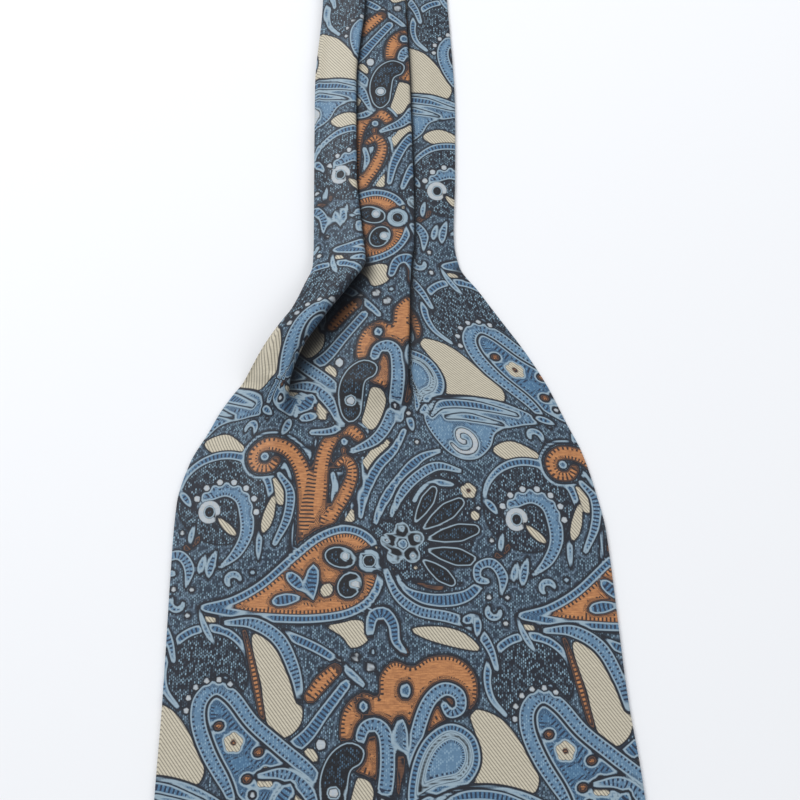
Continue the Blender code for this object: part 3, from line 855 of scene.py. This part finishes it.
def cut_piece(sections, creases):
    """A closed wall of cloth through sections given as (rows, down, toward), with its figure."""
    lines, cloth, painted_shades = [], [], []
    for rows, down, toward in sections:
        row = row_at(rows, down)
        share = min(1.0, (BLADE_LENGTH - row.down + POINT_NOSE) / max(row.left, row.right))
        line = np.array(section(row))
        line[:, 0] *= share
        y = toward * (BAND_LENGTH / 2.0 + down)
        across = [figure_place(x, i, down, row) for i, x in enumerate(line[:, 0])]
        painted_shades.append([painted_fold_shade(x, i, row) for i, x in enumerate(line[:, 0])])
        lines.append(np.column_stack((line[:, 0], np.full(len(line), y), line[:, 1])))
        cloth.append(np.column_stack((across, np.full(len(line), y + FIGURE_ORIGIN[1]))))
    lines = np.array(lines)
    cloth = np.array(cloth)
    downs = np.array([down for _, down, _ in sections])
    lines[..., 2] += swell(creases, lines[..., 0], downs[:, None])

    # Both faces stand half a wall off the middle line, square to it in the section.
    tangent = np.gradient(lines[..., (0, 2)], axis=1)
    tangent /= np.linalg.norm(tangent, axis=2, keepdims=True)
    outward = np.stack((-tangent[..., 1], np.zeros(lines.shape[:2]), tangent[..., 0]), 2)
    top = lines + outward * WALL / 2.0
    kept = sorted(set(range(0, lines.shape[1], UNDER_EVERY)) | {lines.shape[1] - 1}
                  | {i for fold in (FOLD_A_COLUMN, FOLD_B_COLUMN)
                     for i in range(fold - PLEAT_COLUMNS // 2, fold + PLEAT_COLUMNS // 2 + 1, 2)})
    under = (lines - outward * WALL / 2.0)[:, kept[::-1]]

    def rim_points(side, sign):
        angles = np.radians(spread(0.0, 180.0, RIM_COLUMNS + 1)[:-1])
        ring = [lines[:, side] + WALL / 2.0 * (math.cos(a) * outward[:, side] + sign * math.sin(a)
                * np.column_stack((tangent[:, side, 0], np.zeros(len(lines)), tangent[:, side, 1])))
                for a in angles]
        return np.stack(ring if sign > 0 else ring[::-1], 1)

    rings = np.concatenate((top, rim_points(-1, 1.0), under, rim_points(0, -1.0)), 1)
    last = lines.shape[1] - 1
    order = np.array([*range(last + 1), *[last] * RIM_COLUMNS, *kept[::-1], *[0] * RIM_COLUMNS])
    return rings, cloth[:, order], np.array(painted_shades)[:, order], kept, last


def drawn(name, places):
    """The drawing's distance to a colour at places on the cloth, read between its cells."""
    field = drawing[name]
    spot_in = np.moveaxis(places / CELL - 0.5, -1, 0)
    low = np.floor(spot_in).astype(int)
    (right, up) = spot_in - low
    i, j = low
    near_i, near_j = i % DRAWING_CELLS[0], j % DRAWING_CELLS[1]
    next_i, next_j = (i + 1) % DRAWING_CELLS[0], (j + 1) % DRAWING_CELLS[1]
    lower = field[near_j, near_i] * (1.0 - right) + field[near_j, next_i] * right
    upper = field[next_j, near_i] * (1.0 - right) + field[next_j, next_i] * right
    return lower * (1.0 - up) + upper * up


FIGURE_ORIGIN = (0.0, 315.0)      # the figure's own origin, measured from the cravat's
GRAIN_TURN = math.radians(3.0)    # the cloth was cut this far off its grain
UV_TOP, UV_UNDER = (0.004, 0.75), (0.765, 0.985)    # the two faces side by side on the bake map
UV_CAP = 0.004
UV_LAST = 0.999
SHARP_EDGE = math.radians(60.0)


def sew_piece(name, rings, place, painted_shade, kept, last):
    """The mesh of a piece: its faces, woven figure, map and silk."""
    count, around = rings.shape[:2]
    points = rings.reshape(-1, 3) * MM
    number = np.arange(count * around).reshape(count, around)
    beside = np.roll(number, -1, axis=1)
    quads = np.stack((number[:-1], number[1:], beside[1:], beside[:-1]), -1).reshape(-1, 4)
    upward = rings[-1, 0, 1] > rings[0, 0, 1]
    if upward:
        quads = quads[:, ::-1]

    # Map columns: the upper face, the right rim, the underside and the left rim in one row.
    map_x = np.empty(around + 1)
    map_x[:last + 1] = np.linspace(*UV_TOP, last + 1)
    under_first = last + 1 + RIM_COLUMNS
    under_last = under_first + len(kept) - 1
    map_x[last:under_first + 1] = np.linspace(UV_TOP[1], UV_UNDER[0], RIM_COLUMNS + 2)
    map_x[under_first:under_last + 1] = np.linspace(*UV_UNDER, len(kept))
    map_x[under_last:] = np.linspace(UV_UNDER[1], UV_LAST, around + 1 - under_last)
    run = np.abs(rings[:, 0, 1] - rings[0, 0, 1])
    map_y = 2.0 * UV_CAP + (1.0 - 4.0 * UV_CAP) * run / run[-1]
    column = np.tile(np.arange(around), count - 1)
    level = np.repeat(np.arange(count - 1), around)
    corners = np.stack((np.stack((map_x[column], map_y[level]), -1),
                        np.stack((map_x[column], map_y[level + 1]), -1),
                        np.stack((map_x[column + 1], map_y[level + 1]), -1),
                        np.stack((map_x[column + 1], map_y[level]), -1)), 1)
    if upward:
        corners = corners[:, ::-1]

    faces = [tuple(quad) for quad in quads.tolist()]
    maps = corners.reshape(-1, 2).tolist()

    # The two ends close between the upper face's line and the underside's.
    for ring, map_level, outer_level, flip in ((0, 2 * UV_CAP, UV_CAP, upward),
                                               (count - 1, 1 - 2 * UV_CAP, 1 - UV_CAP, not upward)):
        under_of = {column: under_last - i for i, column in enumerate(kept)}
        ends = sorted(under_of)
        for first, after in zip(ends, ends[1:]):
            fan = [*range(first, after + 1)]
            face = [ring * around + i for i in fan] + [ring * around + under_of[after],
                                                       ring * around + under_of[first]]
            spots = [(map_x[i], map_level) for i in fan] + [(map_x[after], outer_level),
                                                            (map_x[first], outer_level)]
            if flip:
                face, spots = face[::-1], spots[::-1]
            faces.append(tuple(face))
            maps.extend(spots)
        for rim in (range(last, under_first + 1), range(under_last, around + 1)):
            loop = [i % around for i in rim]
            spots = [(map_x[i], map_level if 0 < n < len(loop) - 1 else outer_level)
                     for n, i in enumerate(rim)]
            face = [ring * around + i for i in loop]
            if flip:
                face, spots = face[::-1], spots[::-1]
            faces.append(tuple(face))
            maps.extend(spots)

    mesh = bpy.data.meshes.new(name)
    mesh.from_pydata(points.tolist(), [], faces)
    layer = mesh.uv_layers.new(name="OFBake")
    layer.data.foreach_set("uv", np.array(maps, np.float32).ravel())

    turn = np.array(((math.cos(GRAIN_TURN), math.sin(GRAIN_TURN)),
                     (-math.sin(GRAIN_TURN), math.cos(GRAIN_TURN))))
    on_cloth = place.reshape(-1, 2) @ turn
    blank = np.zeros(len(on_cloth))
    values = {weft_name: drawn(weft_name, on_cloth) for weft_name in (*WEFTS, "along")}
    # The figure's weft distances go onto the mesh, and with them the painted shade of the pleats and
    # tucks.
    for attribute, columns in (
        ("cloth_place", (on_cloth[:, 0], on_cloth[:, 1], blank)),
        ("wefts_a", (values["blue"], values["light"], values["copper"])),
        ("wefts_b", (values["cream"], values["dark"], values["ivory"])),
        ("wefts_c_painted_shade", (values["dotted"], values["along"], painted_shade.ravel())),
    ):
        data = mesh.attributes.new(attribute, "FLOAT_VECTOR", "POINT").data
        data.foreach_set("vector", np.column_stack(columns).astype(np.float32).ravel())

    mesh.materials.append(silk)
    mesh.shade_smooth()
    mesh.set_sharp_from_angle(angle=SHARP_EDGE)
    piece = bpy.data.objects.new(name, mesh)
    bpy.context.scene.collection.objects.link(piece)
    return piece


def stations(*runs):
    """Places down a piece, from runs of (first, last, about how far apart)."""
    downs = [runs[0][0]]
    for first, last, step in runs:
        downs += spread(first, last, max(1, round(abs(last - first) / step)))
    return downs


SEAM_DOWN = BAND_END + GAP / 2.0
downs = stations((SEAM_DOWN, -124.0, 2.2), (-124.0, 190.0, 1.05), (190.0, 330.0, 2.3))
made = cut_piece([(FRONT_ROWS, down, -1.0) for down in downs], FRONT_CREASES)
front = sew_piece("front_silk", *made)
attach(front, "root")
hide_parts("front_blade")

# ---------------------------------------------------------------------------------------
# Neck piece, the middle of the band. The same doubled silk with the same two pleats pressed
# flat, seamed to the blades at both ends.
downs = stations((BAND_END - GAP / 2.0, -BAND_LENGTH / 2.0, 1.3))
neck_sections = [(FRONT_ROWS, down, -1.0) for down in downs]
neck_sections += [(FRONT_ROWS, down, 1.0) for down in downs[-2::-1]]
NECK_CREASES = (
    Crease(-17, -240, -17, -170, 3.6, 0.4),
    Crease( 19, -250,  19, -190, 3.8, 0.4),
)
made = cut_piece(neck_sections, NECK_CREASES)
neck = sew_piece("neck_silk", *made)
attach(neck, "root")
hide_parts("neck_piece")

# ---------------------------------------------------------------------------------------
# Rear blade, the far end of the cravat, cut and pleated like the front one but opening a
# little more evenly.
REAR_ROWS = (
    #    down   left  right  fold_a tuck_a roll_a fold_b tuck_b
    Row(-160.0, 23.0, 26.2,   -5.8,  13.0,  0.75,  10.2,  14.6),
    Row(-100.0, 24.4, 26.0,   -7.0,  12.8,  0.75,  10.4,  14.8),
    Row( -40.0, 25.6, 25.9,   -8.6,  12.4,  0.80,  10.8,  15.0),
    Row(  -4.0, 26.0, 25.2,   -8.2,  12.6,  0.90,  11.0,  15.0),
    Row(  10.0, 29.4, 30.0,  -12.0,  10.6,  1.20,  10.6,  12.0),
    Row(  22.0, 35.2, 36.8,  -18.6,   7.6,  1.50,  10.2,   8.6),
    Row(  34.0, 41.8, 44.2,  -24.6,   5.0,  1.50,   9.6,   5.2),
    Row(  46.0, 48.8, 51.4,  -28.8,   2.6,  1.30,   9.0,   2.4),
    Row(  56.0, 55.2, 56.6,  -31.2,   1.3,  1.10,   8.6,   1.1),
    Row(  66.0, 61.4, 61.2,  -32.8,   0.7,  0.90,   8.2,   0.6),
    Row(  80.0, 67.6, 66.4,  -34.0,   0.2,  0.80,   8.0,   0.2),
    Row( 104.0, 71.8, 70.8,  -35.0,   0.0,  0.80,   8.0,   0.0),
    Row( 160.0, 74.0, 73.4,  -36.0,   0.0,  0.80,   8.0,   0.0),
    Row( 254.0, 76.0, 76.0,  -36.0,   0.0,  0.80,   8.0,   0.0),
    Row( 330.0, 76.0, 76.0,  -36.0,   0.0,  0.80,   8.0,   0.0),
)
REAR_CREASES = (
    Crease(-30,  44, -42, 124,  8.0,  1.1),
    Crease( 14,  36,  24, 128,  9.0,  0.8),
    Crease( 36,  28,  56, 120,  8.0,  0.6),
    Crease(-60,  96, -62, 220,  9.0,  0.5),
    Crease( -6,  80,  -2, 190, 12.0,  0.6),
    Crease(-20, 196,  44, 232, 14.0,  0.5),
    Crease(-18, -130, -17, -16,  3.4,  0.5),
    Crease( 19, -120,  19,   0,  3.6,  0.4),
)
downs = stations((SEAM_DOWN, -40.0, 2.2), (-40.0, 120.0, 1.3), (120.0, 330.0, 2.0))
made = cut_piece([(REAR_ROWS, down, 1.0) for down in downs], REAR_CREASES)
rear = sew_piece("rear_silk", *made)
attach(rear, "root")
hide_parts("rear_blade")

# ---------------------------------------------------------------------------------------
# A plain white table under soft daylight from the left and above, and the camera that
# looks down on the front blade from its pointed end.
FLOOR_HALF = 4.0
FLOOR_Z = -0.0003
corners = [(x * FLOOR_HALF, y * FLOOR_HALF, FLOOR_Z) for x, y in ((-1, -1), (1, -1), (1, 1), (-1, 1))]
floor_mesh = bpy.data.meshes.new("table")
floor_mesh.from_pydata(corners, [], [(0, 1, 2, 3)])
floor = bpy.data.objects.new("table", floor_mesh)
bpy.context.scene.collection.objects.link(floor)
paper = bpy.data.materials.new("white_table")
paper.use_nodes = True
paper_shader = paper.node_tree.nodes["Principled BSDF"]
paper_shader.inputs["Base Color"].default_value = (0.835, 0.845, 0.865, 1.0)
paper_shader.inputs["Roughness"].default_value = 0.9
paper_shader.inputs["Specular IOR Level"].default_value = 0.1
floor_mesh.materials.append(paper)

world = bpy.data.worlds.new("room")
bpy.context.scene.world = world
world.use_nodes = True
world.node_tree.nodes["Background"].inputs["Color"].default_value = (0.95, 0.97, 1.0, 1.0)
world.node_tree.nodes["Background"].inputs["Strength"].default_value = 0.56


def soft_light(name, place, aim, size, power, colour=(1.0, 1.0, 1.0)):
    lamp = bpy.data.lights.new(name, "AREA")
    lamp.shape = "DISK"
    lamp.size = size
    lamp.energy = power
    lamp.color = colour
    holder = bpy.data.objects.new(name, lamp)
    bpy.context.scene.collection.objects.link(holder)
    back = Vector(place) - Vector(aim)
    holder.location = place
    holder.rotation_euler = back.to_track_quat("Z", "Y").to_euler()


BLADE_CENTRE = (0.0, -0.32, 0.0)
soft_light("window", (-0.66, 0.50, 1.05), BLADE_CENTRE, 0.8, 14.3)
soft_light("bounce", (1.3, 0.1, 1.5), BLADE_CENTRE, 1.6, 9.0)

LENS_MM, SENSOR_MM = 49.95, 36.0
CAMERA_DISTANCE = 0.389           # from the middle of the view
CAMERA_TILT = math.radians(22.0)  # off straight down, toward the point of the blade
CRAVAT_LEAN = 0.0279              # sideways in the view for each metre up it
CRAVAT_SLANT = math.atan(CRAVAT_LEAN)
VIEW_CENTRE_Y = -0.315
AXIS_AT_CENTRE = -0.0062 + CRAVAT_LEAN * 0.104

camera_data = bpy.data.cameras.new("camera")
camera_data.lens = LENS_MM
camera_data.sensor_width = SENSOR_MM
camera_data.clip_start = 0.01
camera_data.clip_end = 50.0
camera = bpy.data.objects.new("camera", camera_data)
bpy.context.scene.collection.objects.link(camera)
sine, cosine = math.sin(CAMERA_TILT), math.cos(CAMERA_TILT)
stand = Matrix((
    (1.0, 0.0, 0.0, 0.0),
    (0.0, cosine, -sine, -CAMERA_DISTANCE * sine),
    (0.0, sine, cosine, CAMERA_DISTANCE * cosine),
    (0.0, 0.0, 0.0, 1.0),
))
cravat_in_view = (Matrix.Translation((AXIS_AT_CENTRE, 0.0, 0.0)) @ Matrix.Rotation(CRAVAT_SLANT, 4, "Z")
                  @ Matrix.Translation((0.0, -VIEW_CENTRE_Y, 0.0)))
camera.matrix_world = cravat_in_view.inverted() @ stand
bpy.context.scene.camera = camera
bpy.context.scene.view_settings.view_transform = "Standard"
